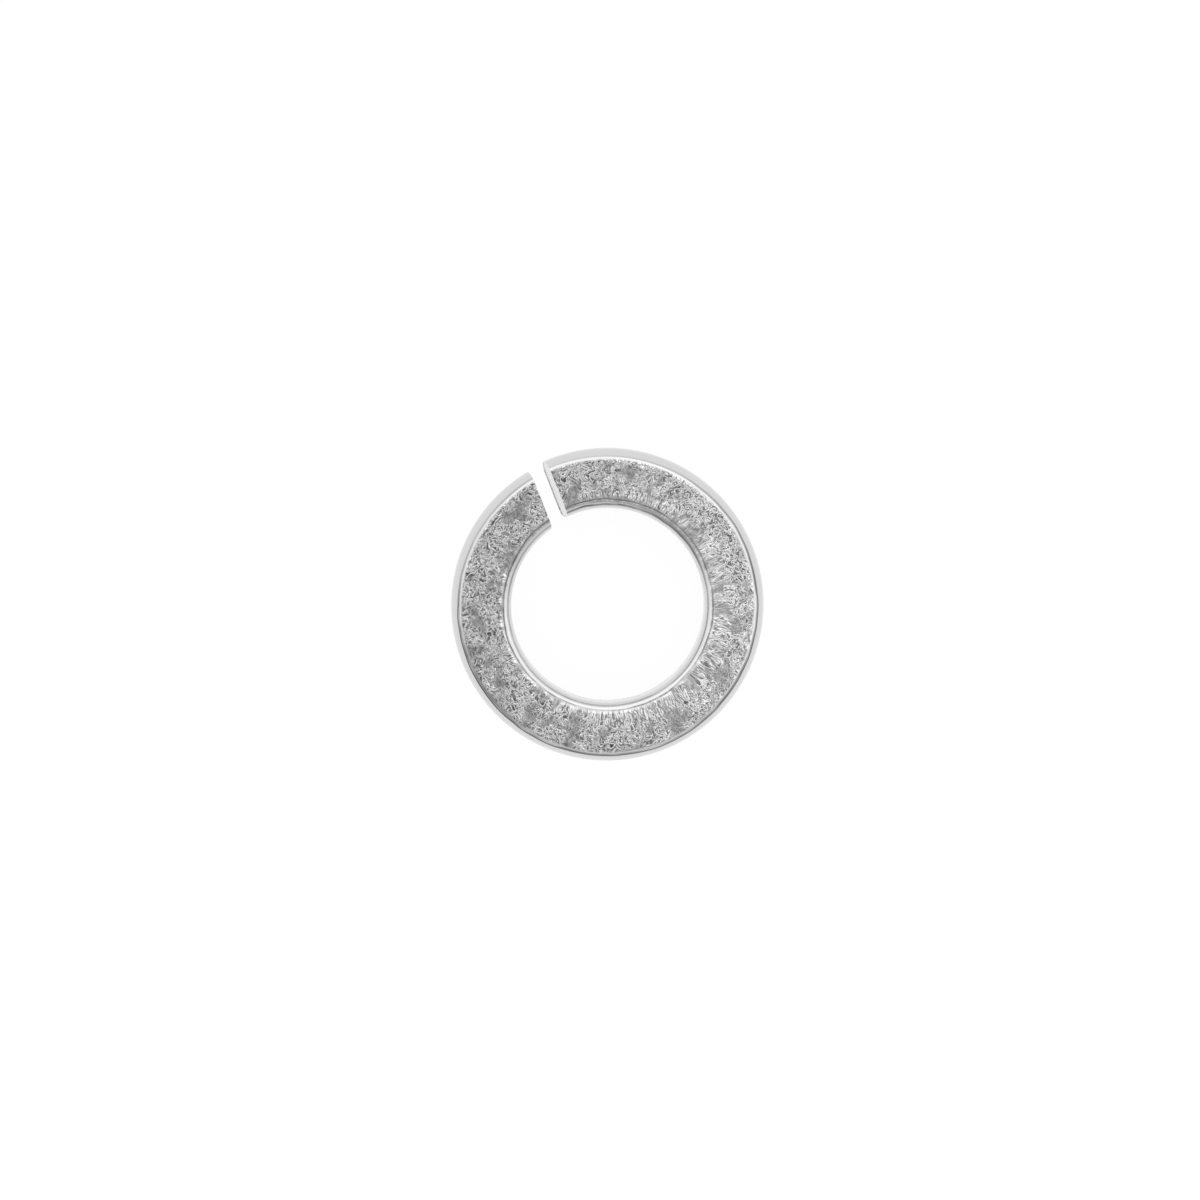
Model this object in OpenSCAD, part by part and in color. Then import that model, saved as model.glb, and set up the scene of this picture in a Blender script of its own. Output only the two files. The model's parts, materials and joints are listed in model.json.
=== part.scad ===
// Spring lock washer: one turn of flat-rolled wire, coiled as a left-hand helix and sheared
// through on a slant. The bolt's direction is +Z and the split faces -Y. Z = 0 is the level
// of the low end's underside.

/* [Ring] */
// Diameter of the hole that the bolt passes through
bore_d = 16.2; // [10:0.1:40]
// Width of the wire, from the bore to the outside of the ring
wire_w = 5; // [3:0.1:12]
// Thickness of the wire along the bolt
wire_t = 3.5; // [2:0.1:4.5]
// Height of the relaxed washer, from the low end's underside to the high end's top
free_h = 7; // [4.5:0.1:9]

/* [Wire section] */
// Radius of the four long edges
edge_r = 0.6; // [0.2:0.05:0.9]
// Radius of the swelling along the outer side
outer_side_r = 2.4; // [2.3:0.1:8]
// Radius of the swelling along the inner side
inner_side_r = 3.6; // [2.3:0.1:10]
// Height of the band on the inner side that the mandrel ironed to a true bore
bore_land = 1.8; // [0.6:0.1:2.6]

/* [Split] */
// Clear width of the split, seen along the bolt
split_gap = 1; // [0.4:0.1:3]
// Angle between the split and a line to the centre of the ring
split_skew = 7.6; // [0:0.2:15]
// Lean of the two sheared ends away from the bolt's direction
split_lean = 9; // [0:0.5:20]

/* [Smoothness] */
// Steps round the ring
ring_steps = 96; // [48:8:120]
// Facets round each long edge
edge_facets = 4; // [2:1:5]
// Facets across each swollen side
side_facets = 6; // [4:1:8]

/* [Hidden] */

bore_r = bore_d / 2;
outer_r = bore_r + wire_w;
mid_r = (bore_r + outer_r) / 2;
half_t = wire_t / 2;

// Degrees from the middle of the split to either tip, and the climb in a full turn that
// brings the two tips to the free height
tip_turn = asin(split_gap / 2 / mid_r);
lead = (free_h - wire_t) / (1 - 2 * tip_turn / 360);

// The side's circle, cut back flat to the bore, would reach this far past it
land_depth = inner_side_r - sqrt(inner_side_r * inner_side_r - bore_land * bore_land / 4);
inner_side_x = bore_r - land_depth + inner_side_r;
outer_side_x = outer_r - outer_side_r;

// Both shear planes lean alike. This is the level distance between them.
shear_w = split_gap + free_h * tan(split_lean);

bore_margin = 1;

// Distance from a side circle's centre to the centre of the edge round inside it
function edge_offset(side_r) = sqrt(pow(side_r - edge_r, 2) - pow(half_t - edge_r, 2));

// Angle at which a side circle runs smoothly into the edge round
function meet_angle(side_r) = atan2(half_t - edge_r, edge_offset(side_r));

// Points on an arc about c, leaving its first point out
function arc(c, r, from, to, facets) = [
    for (i = [1:facets])
        let (a = from + (to - from) * i / facets)
        c + r * [cos(a), sin(a)]
];

// The wire's section as [distance from the axis, height above mid-thickness], anticlockwise
function wire_section() =
    let (
        out_a = meet_angle(outer_side_r),
        in_a = meet_angle(inner_side_r),
        out_x = outer_side_x + edge_offset(outer_side_r),
        in_x = inner_side_x - edge_offset(inner_side_r),
        edge_z = half_t - edge_r
    )
    concat(
        arc([outer_side_x, 0], outer_side_r, -out_a, out_a, side_facets),
        arc([out_x, edge_z], edge_r, out_a, 90, edge_facets),
        [[in_x, half_t]],
        arc([in_x, edge_z], edge_r, 90, 180 - in_a, edge_facets),
        arc([inner_side_x, 0], inner_side_r, 180 - in_a, 180 + in_a, side_facets),
        arc([in_x, -edge_z], edge_r, 180 + in_a, 270, edge_facets),
        [[out_x, -half_t]],
        arc([out_x, -edge_z], edge_r, 270, 360 - out_a, edge_facets)
    );

// Height of a point of the section after the wire has gone this many degrees round
function climb(p, turn) = p[1] + half_t + lead * (turn - tip_turn) / 360;

// Degrees from the middle of the split to a shear plane, for one point of the section. Height
// and angle depend on each other a little, so the answer is put back in until it settles.
function shear_turn(p, full, side, turn, rounds = 4) =
    rounds == 0 ? turn :
    let (
        level = mid_r * sin(split_skew) + side * shear_w / 2
            - (climb(p, turn) - free_h / 2) * tan(split_lean)
    )
    shear_turn(p, full, side, full + split_skew - asin(level / p[0]), rounds - 1);

function low_end(p) = shear_turn(p, 0, -1, 0);
function high_end(p) = shear_turn(p, 360, 1, 360);

// The wire climbs clockwise, seen from above, starting at -Y
function place(p, turn) = [
    -p[0] * sin(turn),
    -p[0] * cos(turn),
    climb(p, turn)
];

// The wire swept from one sheared end to the other
module coiled_wire() {
    section = wire_section();
    count = len(section);
    starts = [for (p = section) low_end(p)];
    ends = [for (p = section) high_end(p)];
    points = [
        for (i = [0:ring_steps], j = [0:count - 1])
            place(section[j], starts[j] + (ends[j] - starts[j]) * i / ring_steps)
    ];
    skin = [
        for (i = [0:ring_steps - 1], j = [0:count - 1])
            let (
                k = (j + 1) % count,
                a = i * count,
                b = a + count
            )
            each [[a + j, a + k, b + k], [a + j, b + k, b + j]]
    ];
    low_cap = [for (j = [count - 1:-1:0]) j];
    high_cap = [for (j = [0:count - 1]) ring_steps * count + j];
    polyhedron(points, concat(skin, [low_cap, high_cap]));
}

module bore() {
    translate([0, 0, -bore_margin])
        cylinder(r = bore_r, h = free_h + 2 * bore_margin, $fn = 180);
}

module spring_lock_washer() {
    color("silver")
        difference() {
            coiled_wire();
            bore();
        }
}

spring_lock_washer();
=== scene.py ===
import json
import math
import bpy
from mathutils import Matrix, Vector


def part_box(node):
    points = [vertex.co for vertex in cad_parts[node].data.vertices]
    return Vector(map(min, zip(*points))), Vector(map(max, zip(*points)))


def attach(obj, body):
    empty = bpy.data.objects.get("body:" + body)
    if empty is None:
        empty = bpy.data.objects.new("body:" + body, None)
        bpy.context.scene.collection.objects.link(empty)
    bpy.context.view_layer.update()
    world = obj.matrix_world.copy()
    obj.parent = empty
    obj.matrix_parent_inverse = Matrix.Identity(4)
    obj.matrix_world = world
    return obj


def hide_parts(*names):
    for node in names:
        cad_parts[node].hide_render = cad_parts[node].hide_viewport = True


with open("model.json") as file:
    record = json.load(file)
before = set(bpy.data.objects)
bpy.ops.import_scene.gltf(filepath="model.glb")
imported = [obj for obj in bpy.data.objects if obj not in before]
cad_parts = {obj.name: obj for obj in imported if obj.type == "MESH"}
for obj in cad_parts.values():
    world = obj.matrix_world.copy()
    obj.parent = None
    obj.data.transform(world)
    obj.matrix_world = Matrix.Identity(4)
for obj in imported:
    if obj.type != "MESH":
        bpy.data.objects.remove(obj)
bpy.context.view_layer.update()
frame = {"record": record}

mm = 0.001
tiny = mm / 1000  # places nearer than this are the same
scene = bpy.context.scene
scene.view_settings.view_transform = "Standard"
washerLow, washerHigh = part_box("spring_lock_washer")
boreMount = next(m for m in frame["record"]["mounts"] if m["name"] == "bore")


def hexColour(code):
    channels = [int(code[i:i + 2], 16) / 255 for i in (1, 3, 5)]
    linear = [c / 12.92 if c <= 0.04045 else ((c + 0.055) / 1.055) ** 2.4 for c in channels]
    return (*linear, 1)


# Adds a node, fills its sockets by name or number, and links what is a socket
def addNode(tree, kind, inputs=None, **settings):
    node = tree.nodes.new(kind)
    for name, value in settings.items():
        setattr(node, name, value)
    for key, value in (inputs or {}).items():
        socket = node.inputs[key]
        if isinstance(value, bpy.types.NodeSocket):
            tree.links.new(value, socket)
        else:
            socket.default_value = value
    return node


def calc(tree, operation, a, b=0.0, c=0.0):
    return addNode(tree, "ShaderNodeMath", {0: a, 1: b, 2: c}, operation=operation).outputs[0]


def vectorCalc(tree, operation, a, b=(0, 0, 0)):
    return addNode(tree, "ShaderNodeVectorMath", {0: a, 1: b}, operation=operation).outputs


# Goes from the first to the second, numbers or colours, while the share goes from 0 to 1
def blend(tree, kind, share, first, second):
    a, b, result = {"FLOAT": (2, 3, 0), "RGBA": (6, 7, 2)}[kind]
    return addNode(tree, "ShaderNodeMix", {0: share, a: first, b: second}, data_type=kind).outputs[result]


# Goes softly from start to end while the value goes from low to high
def softStep(tree, value, low, high, start=0.0, end=1.0):
    inputs = {"Value": value, "From Min": low, "From Max": high, "To Min": start, "To Max": end}
    return addNode(tree, "ShaderNodeMapRange", inputs, interpolation_type="SMOOTHSTEP").outputs[0]


print("camera")

view = {
    "lens": 100,  # mm, long enough that the ring hardly converges
    "ringAcross": 312.6,  # the ring's outside diameter in the photo, in pixels
    "ringAt": (607.9, 604.8),  # where the ring's middle shows in the photo, in pixels
    "photo": 1200,  # the photo is square
    "splitAt": 119,  # where the split shows, in degrees round from picture right
    "leanSplit": 5.0,  # the washer lies on its low tip, so the camera leans to the split
    "leanSide": 1.4,  # and a quarter turn clockwise of it
    "clipStart": 5 * mm,
}
outerRadius = min(-washerLow.x, washerHigh.x, washerHigh.y)
ringCentre = Vector((0, 0, (washerLow.z + washerHigh.z) / 2))


# A direction on the level plane, given as it shows in the picture, in degrees round from right
def pictureWay(degrees):
    turn = math.radians(degrees - view["splitAt"] - 90)
    return Vector((math.cos(turn), math.sin(turn), 0))


def addCamera():
    across = 2 * outerRadius * view["photo"] / view["ringAcross"]
    lean = (pictureWay(view["splitAt"]) * math.tan(math.radians(view["leanSplit"]))
            + pictureWay(view["splitAt"] - 90) * math.tan(math.radians(view["leanSide"])))
    back = (lean + Vector((0, 0, 1))).normalized()
    up = (pictureWay(90) - back * pictureWay(90).dot(back)).normalized()
    right = up.cross(back)
    pixel = across / view["photo"]
    offRight = (view["ringAt"][0] - view["photo"] / 2) * pixel
    offUp = (view["photo"] / 2 - view["ringAt"][1]) * pixel
    data = bpy.data.cameras.new("camera")
    data.lens = view["lens"]
    data.clip_start = view["clipStart"]
    distance = across * view["lens"] / data.sensor_width
    camera = bpy.data.objects.new("camera", data)
    scene.collection.objects.link(camera)
    place = ringCentre + back * distance - right * offRight - up * offUp
    camera.matrix_world = Matrix.Translation(place) @ Matrix((right, up, back)).transposed().to_4x4()
    scene.camera = camera


addCamera()

print("washer: section, coil and sheared ends")

wire = {
    "thickness": 3.5 * mm,
    "freeHeight": 7.0 * mm,  # of the relaxed washer, between its two ends
    "edgeRadius": 0.6 * mm,  # the four long edges
    "outerSide": 2.25 * mm,  # radius of the swelling that rolling left on each side
    "innerSide": 3.6 * mm,
    "boreLand": 1.8 * mm,  # height of the band that the mandrel ironed to a true bore
    "edgeSegments": 7,
    "sideSegments": 18,
    "faceCuts": 23,
    "steps": 800,  # round the ring
    "overrun": 14,  # degrees of wire beyond each end, for the shear to cut off
    "endZone": 42,  # degrees from the split, within which the ends are looked for
    "splitGap": 0.86 * mm,
    "splitSkew": 7.6,  # degrees
    "splitLean": 9,
    "blunt": 0.05 * mm,  # the shear left the ends' edges this blunt
    "levelTilt": 0.5,  # sine of the angle under which an edge counts as level with the cut
    "bluntMerge": 0.3,  # share of that, corners of an end nearer than this are merged
    "bluntSteps": ((0.3, 0.7), (0.7, 0.3)),  # shares of it, how far in and out each inset goes
    "sharpFrom": 50,  # degrees between faces
}
boreRadius = boreMount["dims"]["r_mm"] * mm
midRadius = (boreRadius + outerRadius) / 2
tipTurn = math.degrees(math.asin(wire["splitGap"] / 2 / midRadius))
lead = (wire["freeHeight"] - wire["thickness"]) / (1 - 2 * tipTurn / 360)


def startEdit(piece, mode):
    bpy.ops.object.select_all(action="DESELECT")
    piece.select_set(True)
    bpy.context.view_layer.objects.active = piece
    bpy.ops.object.mode_set(mode="EDIT")
    bpy.ops.mesh.select_mode(type=mode)
    bpy.ops.mesh.select_all(action="DESELECT")
    bpy.ops.object.mode_set(mode="OBJECT")


# Selects by a test on each element's place, ready for an edit mode operator
def pick(piece, elements, test):
    for element in elements:
        element.select = test(element)
    bpy.ops.object.mode_set(mode="EDIT")


def leaveEdit():
    bpy.ops.object.mode_set(mode="OBJECT")


def edgeWay(piece, edge):
    first, second = [piece.data.vertices[v].co for v in edge.vertices]
    return second - first


def applyModifier(piece, kind, **settings):
    modifier = piece.modifiers.new(kind.lower(), kind)
    for name, value in settings.items():
        setattr(modifier, name, value)
    bpy.ops.object.modifier_apply(modifier=modifier.name)


# Rounds off picked corners of the section
def roundCorners(piece, radius, test, segments, cornerAngle):
    startEdit(piece, "VERT")
    pick(piece, piece.data.vertices, test)
    bpy.ops.mesh.bevel(offset=radius / math.tan(cornerAngle / 2), offset_type="OFFSET",
                       segments=segments, affect="VERTICES", clamp_overlap=False)
    leaveEdit()


# The wire's section stands on the split's side of the axis. It starts as an upright plane with a
# pointed nose on each side, whose points and corners are then rounded off.
def makeSection():
    halfT = wire["thickness"] / 2
    edge = wire["edgeRadius"]
    height = halfT - lead * (wire["overrun"] + tipTurn) / 360
    landDepth = wire["innerSide"] - math.sqrt(wire["innerSide"] ** 2 - wire["boreLand"] ** 2 / 4)
    sides = {}
    for name, reach in (("outerSide", -outerRadius), ("innerSide", -boreRadius + landDepth)):
        slope = math.asin((halfT - edge) / (wire[name] - edge))  # of the side where it meets the edge
        facing = math.copysign(1, reach + midRadius)
        cut = (2 - math.sqrt(2)) * wire[name] * math.tan(slope) * math.sin(slope)  # by the bevel's curve
        nose = reach + facing * cut
        sides[name] = {"slope": slope, "nose": nose, "corner": nose - facing * halfT * math.tan(slope)}
    outer, inner = sides["outerSide"], sides["innerSide"]
    flat = inner["corner"] - outer["corner"]

    bpy.ops.object.select_all(action="DESELECT")
    bpy.ops.mesh.primitive_plane_add(size=1, location=(0, (inner["corner"] + outer["corner"]) / 2, height),
                                     rotation=(0, math.pi / 2, 0))
    piece = bpy.context.object
    piece.name = piece.data.name = "zinc_plated_washer"
    piece.scale = (wire["thickness"], flat, 1)
    bpy.ops.object.transform_apply(location=True, rotation=True, scale=True)
    startEdit(piece, "EDGE")
    pick(piece, piece.data.edges, lambda e: abs(edgeWay(piece, e).z) > tiny)
    bpy.ops.mesh.subdivide(number_cuts=1)
    bpy.ops.mesh.select_mode(type="FACE")
    bpy.ops.mesh.select_all(action="SELECT")
    bpy.ops.mesh.dissolve_faces()
    leaveEdit()
    for side in sides.values():
        startEdit(piece, "VERT")
        pick(piece, piece.data.vertices,
             lambda v: abs(v.co.y - side["corner"]) < tiny and abs(v.co.z - height) < tiny)
        bpy.ops.transform.translate(value=(0, side["nose"] - side["corner"], 0))
        leaveEdit()
    for name, side in sides.items():
        roundCorners(piece, edge, lambda v: abs(v.co.y - side["corner"]) < tiny,
                     wire["edgeSegments"], math.pi / 2 + side["slope"])
        roundCorners(piece, wire[name], lambda v: abs(v.co.y - side["nose"]) < tiny,
                     wire["sideSegments"], math.pi - 2 * side["slope"])
    startEdit(piece, "VERT")
    bpy.ops.object.mode_set(mode="EDIT")
    bpy.ops.mesh.select_all(action="SELECT")
    bpy.ops.mesh.delete(type="ONLY_FACE")
    leaveEdit()
    startEdit(piece, "EDGE")
    pick(piece, piece.data.edges, lambda e: abs(edgeWay(piece, e).y) > flat / 2)
    bpy.ops.mesh.subdivide(number_cuts=wire["faceCuts"])
    leaveEdit()
    startEdit(piece, "VERT")
    pick(piece, piece.data.vertices, lambda v: v.co.y > -boreRadius)
    bpy.ops.transform.resize(value=(1, 0, 1), center_override=(0, -boreRadius, height))
    bpy.ops.mesh.select_all(action="SELECT")
    fit = (outerRadius - boreRadius) / (-min(v.co.y for v in piece.data.vertices) - boreRadius)
    bpy.ops.transform.resize(value=(1, fit, 1), center_override=(0, -boreRadius, height))
    bpy.ops.mesh.remove_doubles(threshold=tiny)
    leaveEdit()
    print("section has", len(piece.data.vertices), "points and", len(piece.data.edges), "edges")
    return piece


# The section is screwed round the bore, clockwise and up, and sheared through
def makeWasher():
    piece = makeSection()
    sweep = 360 + 2 * wire["overrun"]
    piece.rotation_euler.z = math.radians(wire["overrun"])
    bpy.ops.object.transform_apply(location=False, rotation=True, scale=False)
    applyModifier(piece, "SCREW", axis="Z", angle=-math.radians(sweep), screw_offset=lead * sweep / 360,
                  steps=wire["steps"], render_steps=wire["steps"])
    for side in (-1, 1):
        cutEnd(piece, side)
    startEdit(piece, "FACE")
    bpy.ops.object.mode_set(mode="EDIT")
    bpy.ops.mesh.select_all(action="SELECT")
    bpy.ops.mesh.normals_make_consistent(inside=False)
    leaveEdit()
    bpy.ops.object.shade_smooth_by_angle(angle=math.radians(wire["sharpFrom"]))
    applyModifier(piece, "WEIGHTED_NORMAL", keep_sharp=True)
    return piece


# Cuts one end with a leaning plane. Side is -1 for the low end and 1 for the high one.
def cutEnd(piece, side):
    skew = math.radians(wire["splitSkew"])
    leanSlope = math.tan(math.radians(wire["splitLean"]))
    across = Vector((math.cos(skew), -math.sin(skew), 0))
    spread = wire["splitGap"] + wire["freeHeight"] * leanSlope
    between = (wire["thickness"] + lead) / 2  # above the low end's top and below the high end
    point = across * (midRadius * math.sin(skew) + side * spread / 2)
    point += Vector((0, 0, wire["freeHeight"] / 2))
    facing = (across + Vector((0, 0, leanSlope))).normalized()
    point += facing * side * wire["blunt"]

    def onThisEnd(place):
        turn = math.degrees(math.atan2(-place.x, -place.y))
        above = place.z - lead * (turn - tipTurn) / 360 > between
        return abs(turn) < wire["endZone"] and above == (side > 0)

    startEdit(piece, "FACE")
    pick(piece, piece.data.polygons, lambda f: onThisEnd(f.center))
    bpy.ops.mesh.bisect(plane_co=point, plane_no=facing, use_fill=True, clear_outer=side < 0,
                        clear_inner=side > 0, threshold=tiny / 10)
    leaveEdit()

    # Slivers beside the cut are merged along the wire, so that the edge bevels evenly
    def besideCut(edge):
        ends = [piece.data.vertices[v].co for v in edge.vertices]
        depths = [abs((place - point).dot(facing)) for place in ends]
        tilt = abs(edgeWay(piece, edge).normalized().dot(facing))
        sliver = 3 * wire["blunt"]
        return tilt < wire["levelTilt"] and tiny < min(depths) and max(depths) < sliver and onThisEnd(ends[0])

    startEdit(piece, "EDGE")
    pick(piece, piece.data.edges, besideCut)
    bpy.ops.mesh.dissolve_edges(use_verts=True)
    leaveEdit()
    startEdit(piece, "FACE")
    pick(piece, piece.data.polygons, lambda f: len(f.vertices) > 2 * wire["faceCuts"] and onThisEnd(f.center))
    bpy.ops.mesh.remove_doubles(threshold=wire["bluntMerge"] * wire["blunt"])
    for inward, outward in wire["bluntSteps"]:
        bpy.ops.mesh.inset(thickness=inward * wire["blunt"], depth=outward * wire["blunt"],
                           use_even_offset=False)
    leaveEdit()


washer = makeWasher()
print("washer has", len(washer.data.vertices), "vertices")


# The place on the wire, in mm: along it from the low end, out from the axis, up its thickness
def wirePlace(tree, position):
    parts = addNode(tree, "ShaderNodeSeparateXYZ", {0: position}).outputs
    x, y, z = [calc(tree, "DIVIDE", part, mm) for part in parts]
    turn = calc(tree, "ARCTAN2", calc(tree, "MULTIPLY", x, -1), calc(tree, "MULTIPLY", y, -1))
    turn = calc(tree, "WRAP", turn, 2 * math.pi, 0)
    along = calc(tree, "MULTIPLY", turn, midRadius / mm)
    out = calc(tree, "SQRT", calc(tree, "ADD", calc(tree, "MULTIPLY", x, x), calc(tree, "MULTIPLY", y, y)))
    climb = calc(tree, "MULTIPLY", turn, lead / mm / (2 * math.pi))
    return along, out, calc(tree, "SUBTRACT", z, climb)


def noise(tree, place, sizes, detail=1.0, distortion=0.0):
    scaled = [calc(tree, "DIVIDE", part, size) for part, size in zip(place, sizes)]
    vector = addNode(tree, "ShaderNodeCombineXYZ", dict(enumerate(scaled))).outputs[0]
    inputs = {"Vector": vector, "Scale": 1.0, "Detail": detail, "Distortion": distortion}
    return addNode(tree, "ShaderNodeTexNoise", inputs).outputs[0]


# A thin line where a value passes the middle one: 1 on the line, 0 beside it
def lineAt(tree, value, middle, width):
    off = calc(tree, "ABSOLUTE", calc(tree, "SUBTRACT", value, middle))
    return softStep(tree, off, 0, width, 1, 0)


# A length that is whole on the wire's middle line in one picture direction and negative opposite
def towards(tree, position, degrees, length):
    reach = vectorCalc(tree, "DOT_PRODUCT", position, pictureWay(degrees))["Value"]
    return calc(tree, "MULTIPLY", reach, length / midRadius)


print("zinc plated spring steel")

# Rolled spring steel, coiled on edge and barrel plated with zinc: a mid grey metal, satin on the
# two faces, which coiling wrinkled across the wire, and pale and smooth on the rolled sides.
# Lengths are in mm. A fade says where it starts and ends, and then its values at those two places
# if they aren't 0 and 1.
plating = {
    "smooth": "#D5D5D5",
    # the face's colours on the wrinkles' crests and in their hollows; the spread between them is partly
    # painted highlight and painted shade
    "bandEdge": "#D4D4D4",
    # the inner edge's colour within the painted light band, now about that of the smooth sides
    "crest": "#EEEEEE",
    "hollow": "#888888",
    # painted shade: the dark colour put in the ripples' grooves, the folds and the line beside the outer edge
    "paintedShade": "#404040",
    "sheared": "#D8D8D8",
    "smoothRoughness": 0.14,
    "faceRoughness": 0.2,
    "faceFade": (0.9, 0.985),  # by how squarely the surface looks along the axis
    "shearedFade": (0.93, 0.98),  # by how squarely it looks along the wire
    "endFade": (0.2, 0.5),  # by the same, where the draw lines give way to an end
    "drift": (90, 0.12),  # picture degrees and mm, how far the roll and the folds lie off the bore's middle
    "wrinkle": (0.42, 1.6, 1.6),  # along the wire, across it and up it
    "dimple": (0.6, 0.6, 0.6),
    "wrinkledSide": (-12, 0.8),  # picture degrees, where the wrinkles reach the furthest out, and how much
    "wrinkledFade": (0.7, 2.5, 0.95, 0.05),  # out from the bore, from wrinkles to dimples
    "wrinkleHeight": 0.08,  # of the noise's whole range, of which it uses a third
    "ripples": 5,  # winding ripples over that range
    "rippleHeight": 0.011,
    "groove": (-1, 0.55),  # where in a ripple, from -1 to 1, its dark line of painted shade runs, and how wide
    "grooveFade": (0.3, 0.95, 0.65, 0.38),  # by the share of wrinkles
    "ridge": (1, 0.5),  # the same for its bright line, a painted highlight along each ripple's crest
    "roughFade": (0.75, 1.0, 0.2, 1),  # out from the bore, to where wrinkles and dimples are whole
    "patch": (1.7, 1.7, 1.7),  # size of the patches where they are faint
    "patchFade": (0.36, 0.54, 0.3, 1),  # by the patches' noise
    "grain": (0.1, 0.1, 0.1),
    "grainHeight": 0.008,
    "undulation": (0.9, 0.9, 0.9),
    "undulationHeight": 0.07,
    "rollWidth": 1.0,  # out from the bore, where the face starts to roll off to it
    "rollDepth": 0.048,
    "paintedLightBand": ((0.15, 0.4), (0.8, 1.0, 1, 0)),  # out from the bore, its two fades: the band where the face rolls off to the bore, painted paler as painted light
    "tones": {  # shares of the way from the hollow's colour to the crest's
        "ground": 0.22,
        "patch": 0.24,
        "wrinkle": 0.3,
        "ripple": 0.32,
        "ridge": 0.53,
        # painted light: how much paler the band by the bore is painted
        "band": 0.15,
        # the wrinkled inner half, paler partly in its own tone and partly as painted light
        "inner": 0.21,
    },
    "toneFade": (0.4, 0.6, -0.5, 0.5),  # by the noise of wrinkles and dimples
    "paintedLightSide": (30, 0.03),  # picture degrees and share, where the faces are painted palest: painted light, paler on the side the lights fall from and darker opposite
    # Out from the bore: wavelength, and strengths near the low end, on the way and near the high end
    "folds": {
        0.27: (1.8, 1.0, 0.18, 0.05),
        0.68: (2.8, 1.0, 0.65, 0.9),
    },
    "foldWays": ((4, 20), (54, 62)),  # along the wire, from one of those strengths to the next
    "foldWidth": 0.12,
    "foldWander": 0.2,
    "foldDepth": 0.022,
    # how dark the folds are painted, as painted shade
    "foldShade": 0.9,
    "fading": 1.9,  # wavelength along the wire of the folds' fading
    "fadingFade": (0.35, 0.6, 0.55, 1),
    "paintedDarkLine": 1.52,  # above and below the middle, where a fine groove runs near the outer edge, painted dark as a painted reflection of the dim room near the level
    "paintedDarkLineWidth": 0.13,
    "paintedDarkLineWander": 0.2,
    "paintedDarkLineStrength": 0.9,
    "paintedDarkLineFull": 1,  # in from the outside, where the painted dark line has that strength
    "paintedDarkLineFades": ((7, 20), (50, 63, 1, 0.15)),  # along the wire
    "acrossWire": 50,  # a pattern of this size is the same right across the wire
    "drawLine": (12.0, 0.16, 0.16),  # the lines that rolling and the mandrel drew on the sides
    "drawLineHeight": 0.012,
    "shearLine": (0.14, 0.14, 2.0),  # the streaks that the shear drew down the ends
    "shearLineHeight": 0.03,
}
noiseMean = 0.5


# A noise that changes only along the wire
def waves(tree, place, length):
    return noise(tree, place, (length, plating["acrossWire"], plating["acrossWire"]))


# The folds along the inner edge and the groove beside the outer one, which follow the wire, both painted
# dark: the folds with painted shade, the groove with a painted dark reflection
def creaseLines(tree, place, fromBore):
    along, out, up = place
    creases = 0.0
    for fold, (wavelength, low, middle, high) in plating["folds"].items():
        lowWay, highWay = plating["foldWays"]
        strength = calc(tree, "ADD", softStep(tree, along, *lowWay, low - middle, 0),
                        softStep(tree, along, *highWay, middle, high))
        wander = calc(tree, "SUBTRACT", waves(tree, place, wavelength), noiseMean)
        wander = calc(tree, "MULTIPLY_ADD", wander, plating["foldWander"], fold)
        crease = lineAt(tree, calc(tree, "SUBTRACT", fromBore, wander), 0, plating["foldWidth"])
        creases = calc(tree, "MAXIMUM", creases, calc(tree, "MULTIPLY", crease, strength))
    fading = waves(tree, place, plating["fading"])
    creases = calc(tree, "MULTIPLY", creases, softStep(tree, fading, *plating["fadingFade"]))
    # Painted reflection: a dark line beside the outer edge, where the edge would mirror the dim room near the
    # level
    off = calc(tree, "ABSOLUTE", calc(tree, "SUBTRACT", up, wire["thickness"] / 2 / mm))
    off = calc(tree, "MULTIPLY_ADD", calc(tree, "SUBTRACT", fading, noiseMean), plating["paintedDarkLineWander"], off)
    paintedDarkLine = lineAt(tree, off, plating["paintedDarkLine"], plating["paintedDarkLineWidth"])
    full = outerRadius / mm - plating["paintedDarkLineFull"]
    paintedDarkLine = calc(tree, "MULTIPLY", paintedDarkLine, softStep(tree, out, midRadius / mm, full, 0, plating["paintedDarkLineStrength"]))
    for fade in plating["paintedDarkLineFades"]:
        paintedDarkLine = calc(tree, "MULTIPLY", paintedDarkLine, softStep(tree, along, *fade))
    return calc(tree, "MAXIMUM", creases, paintedDarkLine)


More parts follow.
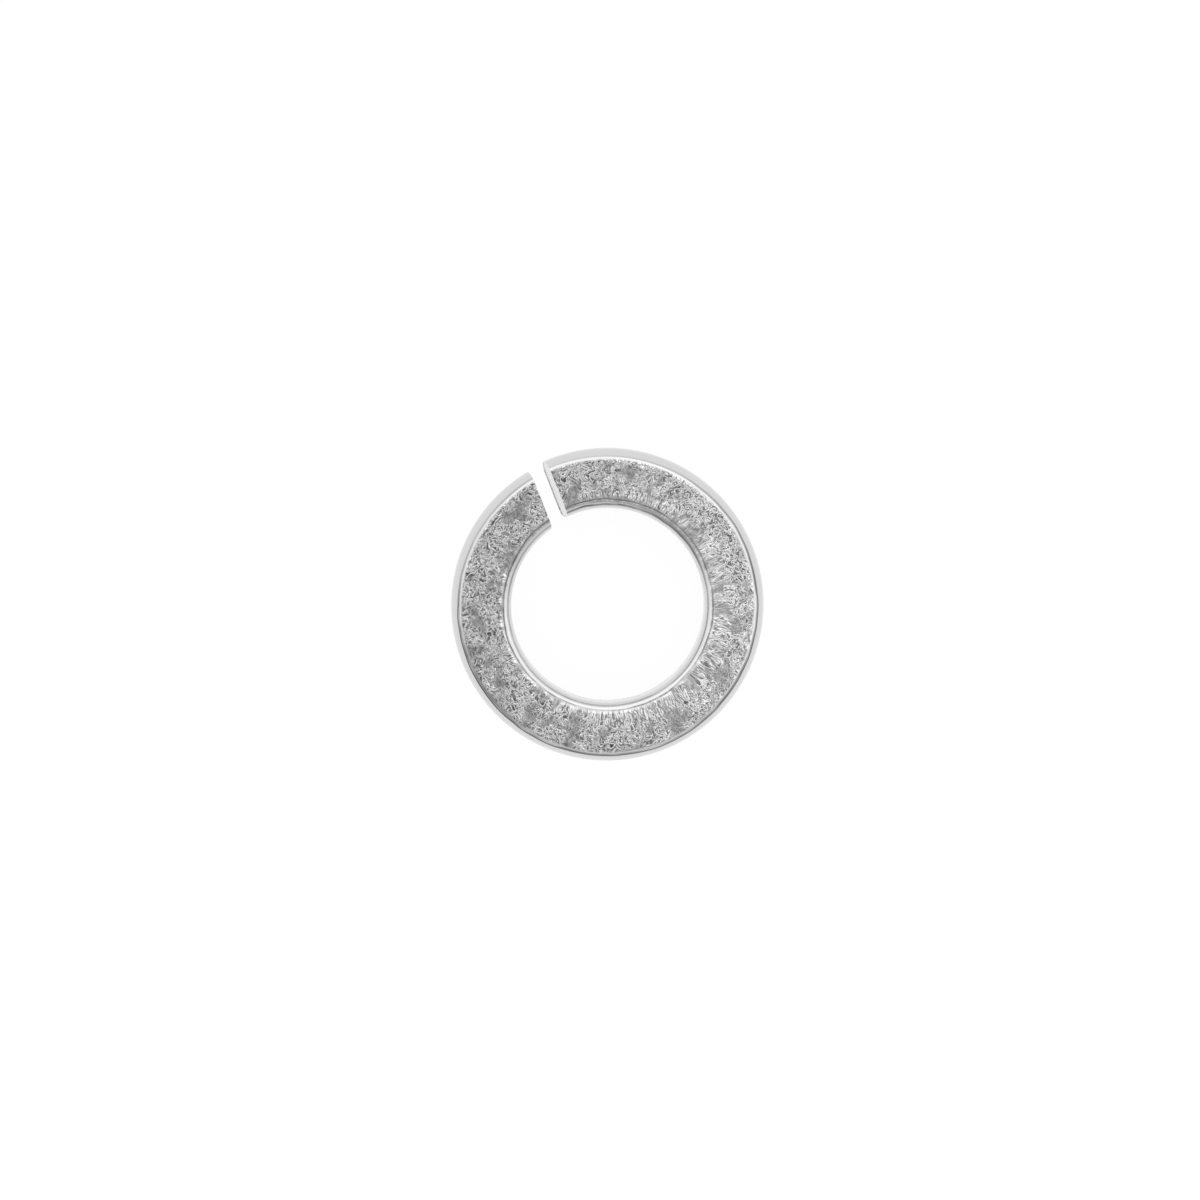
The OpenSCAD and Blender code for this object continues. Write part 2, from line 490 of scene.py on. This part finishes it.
def makePlating():
    material = bpy.data.materials.new("zinc plated spring steel")
    material.use_nodes = True
    tree = material.node_tree
    tree.nodes.clear()
    position = addNode(tree, "ShaderNodeTexCoord").outputs["Object"]
    place = wirePlace(tree, position)
    out = place[1]
    bore = boreRadius / mm
    fromBore = calc(tree, "SUBTRACT", calc(tree, "SUBTRACT", out, bore),
                    towards(tree, position, *plating["drift"]))
    normal = addNode(tree, "ShaderNodeNewGeometry").outputs["Normal"]
    level = calc(tree, "ABSOLUTE", addNode(tree, "ShaderNodeSeparateXYZ", {0: normal}).outputs[2])
    face = softStep(tree, level, *plating["faceFade"])
    wireWay = vectorCalc(tree, "CROSS_PRODUCT", position, (0, 0, 1))["Vector"]
    wireWay = vectorCalc(tree, "NORMALIZE", wireWay)["Vector"]
    endways = calc(tree, "ABSOLUTE", vectorCalc(tree, "DOT_PRODUCT", wireWay, normal)["Value"])
    sheared = softStep(tree, endways, *plating["shearedFade"])
    side = calc(tree, "MAXIMUM", face, softStep(tree, endways, *plating["endFade"]))
    side = calc(tree, "SUBTRACT", 1, side)

    # Coiling pressed the inner half into wrinkles across the wire and left the outer half dimpled
    wrinkles = noise(tree, place, plating["wrinkle"], distortion=0.9)
    dimples = noise(tree, place, plating["dimple"], distortion=1.6)
    reach = calc(tree, "SUBTRACT", out, towards(tree, position, *plating["wrinkledSide"]))
    start, end, most, least = plating["wrinkledFade"]
    inner = softStep(tree, reach, bore + start, bore + end, most, least)
    mixed = blend(tree, "FLOAT", inner, dimples, wrinkles)
    patch = softStep(tree, noise(tree, place, plating["patch"], detail=3.0), *plating["patchFade"])
    rough = calc(tree, "MULTIPLY", patch, face)
    rough = calc(tree, "MULTIPLY", rough, softStep(tree, fromBore, *plating["roughFade"]))
    ripple = calc(tree, "SINE", calc(tree, "MULTIPLY", mixed, plating["ripples"] * 2 * math.pi))
    groove = calc(tree, "MULTIPLY", lineAt(tree, ripple, *plating["groove"]), rough)
    groove = calc(tree, "MULTIPLY", groove, softStep(tree, inner, *plating["grooveFade"]))
    ridge = calc(tree, "MULTIPLY", lineAt(tree, ripple, *plating["ridge"]), rough)

    grain = noise(tree, place, plating["grain"], distortion=0.4)
    broad = noise(tree, place, plating["undulation"])
    rolled = calc(tree, "SUBTRACT", 1, calc(tree, "DIVIDE", fromBore, plating["rollWidth"]))
    rolled = calc(tree, "MAXIMUM", rolled, 0)
    creases = calc(tree, "MULTIPLY", creaseLines(tree, place, fromBore), calc(tree, "SUBTRACT", 1, sheared))
    drawn = noise(tree, place, plating["drawLine"], detail=2.0)
    streaks = noise(tree, place, plating["shearLine"], detail=2.0, distortion=0.3)
    height = 0.0
    for pattern, share, rise in (
            (mixed, rough, plating["wrinkleHeight"]),
            (ripple, rough, plating["rippleHeight"]),
            (grain, calc(tree, "MAXIMUM", face, sheared), plating["grainHeight"]),
            (broad, face, plating["undulationHeight"]),
            (rolled, 1, -plating["rollDepth"]),
            (creases, 1, -plating["foldDepth"]),
            (drawn, side, plating["drawLineHeight"]),
            (streaks, sheared, plating["shearLineHeight"])):
        height = calc(tree, "MULTIPLY_ADD", calc(tree, "MULTIPLY", pattern, share), rise, height)

    tones = plating["tones"]
    # Painted light: a paler band where the face rolls off to the bore, standing in for the lights that the
    # roll mirrors
    bandStart, bandEnd = plating["paintedLightBand"]
    band = calc(tree, "MULTIPLY", softStep(tree, fromBore, *bandStart), softStep(tree, fromBore, *bandEnd))
    # Painted light on the wrinkles: the tone rises with their height, paler on the crests as painted
    # highlight, darker in the hollows as painted shade, over the patches' own tone
    shade = softStep(tree, mixed, *plating["toneFade"])
    shade = calc(tree, "MULTIPLY_ADD", shade, tones["wrinkle"],
                 calc(tree, "MULTIPLY", ripple, tones["ripple"]))
    shade = calc(tree, "MULTIPLY_ADD", ridge, tones["ridge"], shade)
    ground = calc(tree, "MULTIPLY_ADD", patch, tones["patch"], tones["ground"])
    shade = calc(tree, "MULTIPLY_ADD", shade, rough, ground)
    # Painted light: the faces are made paler towards the lights' side of the ring and darker on the far side
    shade = calc(tree, "ADD", shade, towards(tree, position, *plating["paintedLightSide"]))
    # Painted light near the bore: the band, and partly the wrinkled inner half, are painted paler
    paler = calc(tree, "MAXIMUM", calc(tree, "MULTIPLY", band, tones["band"]),
                 calc(tree, "MULTIPLY", inner, tones["inner"]))
    shade = calc(tree, "ADD", shade, paler)
    # Painted shade: the grooves between the ripples, the folds and the line beside the outer edge are painted
    # dark
    dark = calc(tree, "MAXIMUM", groove, calc(tree, "MULTIPLY", creases, plating["foldShade"]))
    faceColour = blend(tree, "RGBA", shade, hexColour(plating["hollow"]), hexColour(plating["crest"]))
    sideColour = blend(tree, "RGBA", band, hexColour(plating["smooth"]), hexColour(plating["bandEdge"]))
    colour = blend(tree, "RGBA", face, sideColour, faceColour)
    colour = blend(tree, "RGBA", sheared, colour, hexColour(plating["sheared"]))
    colour = blend(tree, "RGBA", dark, colour, hexColour(plating["paintedShade"]))
    roughness = softStep(tree, face, 0, 1, plating["smoothRoughness"], plating["faceRoughness"])
    bump = addNode(tree, "ShaderNodeBump", {"Height": height, "Distance": mm, "Strength": 1.0})
    shader = addNode(tree, "ShaderNodeBsdfPrincipled", {
        "Base Color": colour, "Roughness": roughness, "Metallic": 1.0, "Normal": bump.outputs[0]})
    addNode(tree, "ShaderNodeOutputMaterial", {"Surface": shader.outputs[0]})
    return material


washer.data.materials.clear()
washer.data.materials.append(makePlating())
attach(washer, "root")
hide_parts("spring_lock_washer")

print("floor and light")

studio = {
    "floor": "#FFFFFF",
    "floorSize": 3.0,  # m
    "shadow": 0.07,  # how much of the floor's own shading the white keeps
    "sky": 1.32,  # the brightness that falls on the floor
    "room": 0.38,  # the brightness that the metal mirrors away from the lights
    "softLights": {
        # name: (picture degrees, degrees above level), cosines of the angle from its middle
        # where it ends and is full, brightness
        "window": ((50, 23), (0.1, 0.63), 0.95),
        "fill": ((148, 28), (0.42, 0.9), 0.8),
        "ceiling": ((0, 90), (0.75, 0.93), 0.14),
        "front": ((285, 12), (0.55, 0.9), 0.5),
    },
    "brightest": 1.4,  # where the lights overlap
    # Fades by the sine of the height above level: it is dimmer near the floor, and right above,
    # round the camera
    "lowFade": (0, 0.45, 0.55, 1),
    "overheadFade": (0.93, 0.992, 1, 0.48),
    "lamp": {"way": (65, 48), "distance": 0.6, "size": 0.4, "brightness": 0.15},  # m
}


def skyWay(degrees, height):
    height = math.radians(height)
    return pictureWay(degrees) * math.cos(height) + Vector((0, 0, math.sin(height)))


def addFloor():
    bpy.ops.object.select_all(action="DESELECT")
    bpy.ops.mesh.primitive_plane_add(size=studio["floorSize"], location=(0, 0, washerLow.z))
    floor = bpy.context.object
    floor.name = "floor"
    material = bpy.data.materials.new("matt white paper")
    material.use_nodes = True
    tree = material.node_tree
    tree.nodes.clear()
    ray = addNode(tree, "ShaderNodeLightPath").outputs
    seen = calc(tree, "MAXIMUM", calc(tree, "MAXIMUM", ray["Is Camera Ray"], ray["Is Glossy Ray"]),
                ray["Is Transmission Ray"])
    paper = addNode(tree, "ShaderNodeBsdfDiffuse", {"Color": hexColour(studio["floor"])})
    white = addNode(tree, "ShaderNodeEmission", {"Color": (1, 1, 1, 1), "Strength": 1.0})
    share = calc(tree, "MULTIPLY", seen, 1 - studio["shadow"])
    mix = addNode(tree, "ShaderNodeMixShader", {0: share, 1: paper.outputs[0], 2: white.outputs[0]})
    addNode(tree, "ShaderNodeOutputMaterial", {"Surface": mix.outputs[0]})
    floor.data.materials.append(material)


def addSky():
    world = bpy.data.worlds.new("studio")
    scene.world = world
    world.use_nodes = True
    tree = world.node_tree
    tree.nodes.clear()
    way = addNode(tree, "ShaderNodeTexCoord").outputs["Generated"]
    mirrored = studio["room"]
    for place, reach, brightness in studio["softLights"].values():
        nearness = vectorCalc(tree, "DOT_PRODUCT", way, skyWay(*place))["Value"]
        mirrored = calc(tree, "ADD", softStep(tree, nearness, *reach, 0, brightness), mirrored)
    mirrored = calc(tree, "MINIMUM", mirrored, studio["brightest"])
    height = addNode(tree, "ShaderNodeSeparateXYZ", {0: way}).outputs[2]
    for fade in (studio["lowFade"], studio["overheadFade"]):
        mirrored = calc(tree, "MULTIPLY", mirrored, softStep(tree, height, *fade))
    ray = addNode(tree, "ShaderNodeLightPath").outputs
    inMetal = calc(tree, "MAXIMUM", ray["Is Glossy Ray"], ray["Is Transmission Ray"])
    strength = blend(tree, "FLOAT", inMetal, studio["sky"], mirrored)
    strength = blend(tree, "FLOAT", ray["Is Camera Ray"], strength, 1.0)
    sky = addNode(tree, "ShaderNodeBackground", {"Color": (1, 1, 1, 1), "Strength": strength})
    addNode(tree, "ShaderNodeOutputWorld", {"Surface": sky.outputs[0]})


def addLamp():
    lamp = studio["lamp"]
    way = skyWay(*lamp["way"])
    data = bpy.data.lights.new("softLamp", "AREA")
    data.shape = "DISK"
    data.size = lamp["size"]
    data.energy = lamp["brightness"] * math.pi * math.pi * lamp["size"] ** 2 / 4  # W, for a disk this bright
    softLamp = bpy.data.objects.new("softLamp", data)
    scene.collection.objects.link(softLamp)
    softLamp.location = ringCentre + way * lamp["distance"]
    softLamp.rotation_euler = way.to_track_quat("Z", "Y").to_euler()


addFloor()
addSky()
addLamp()
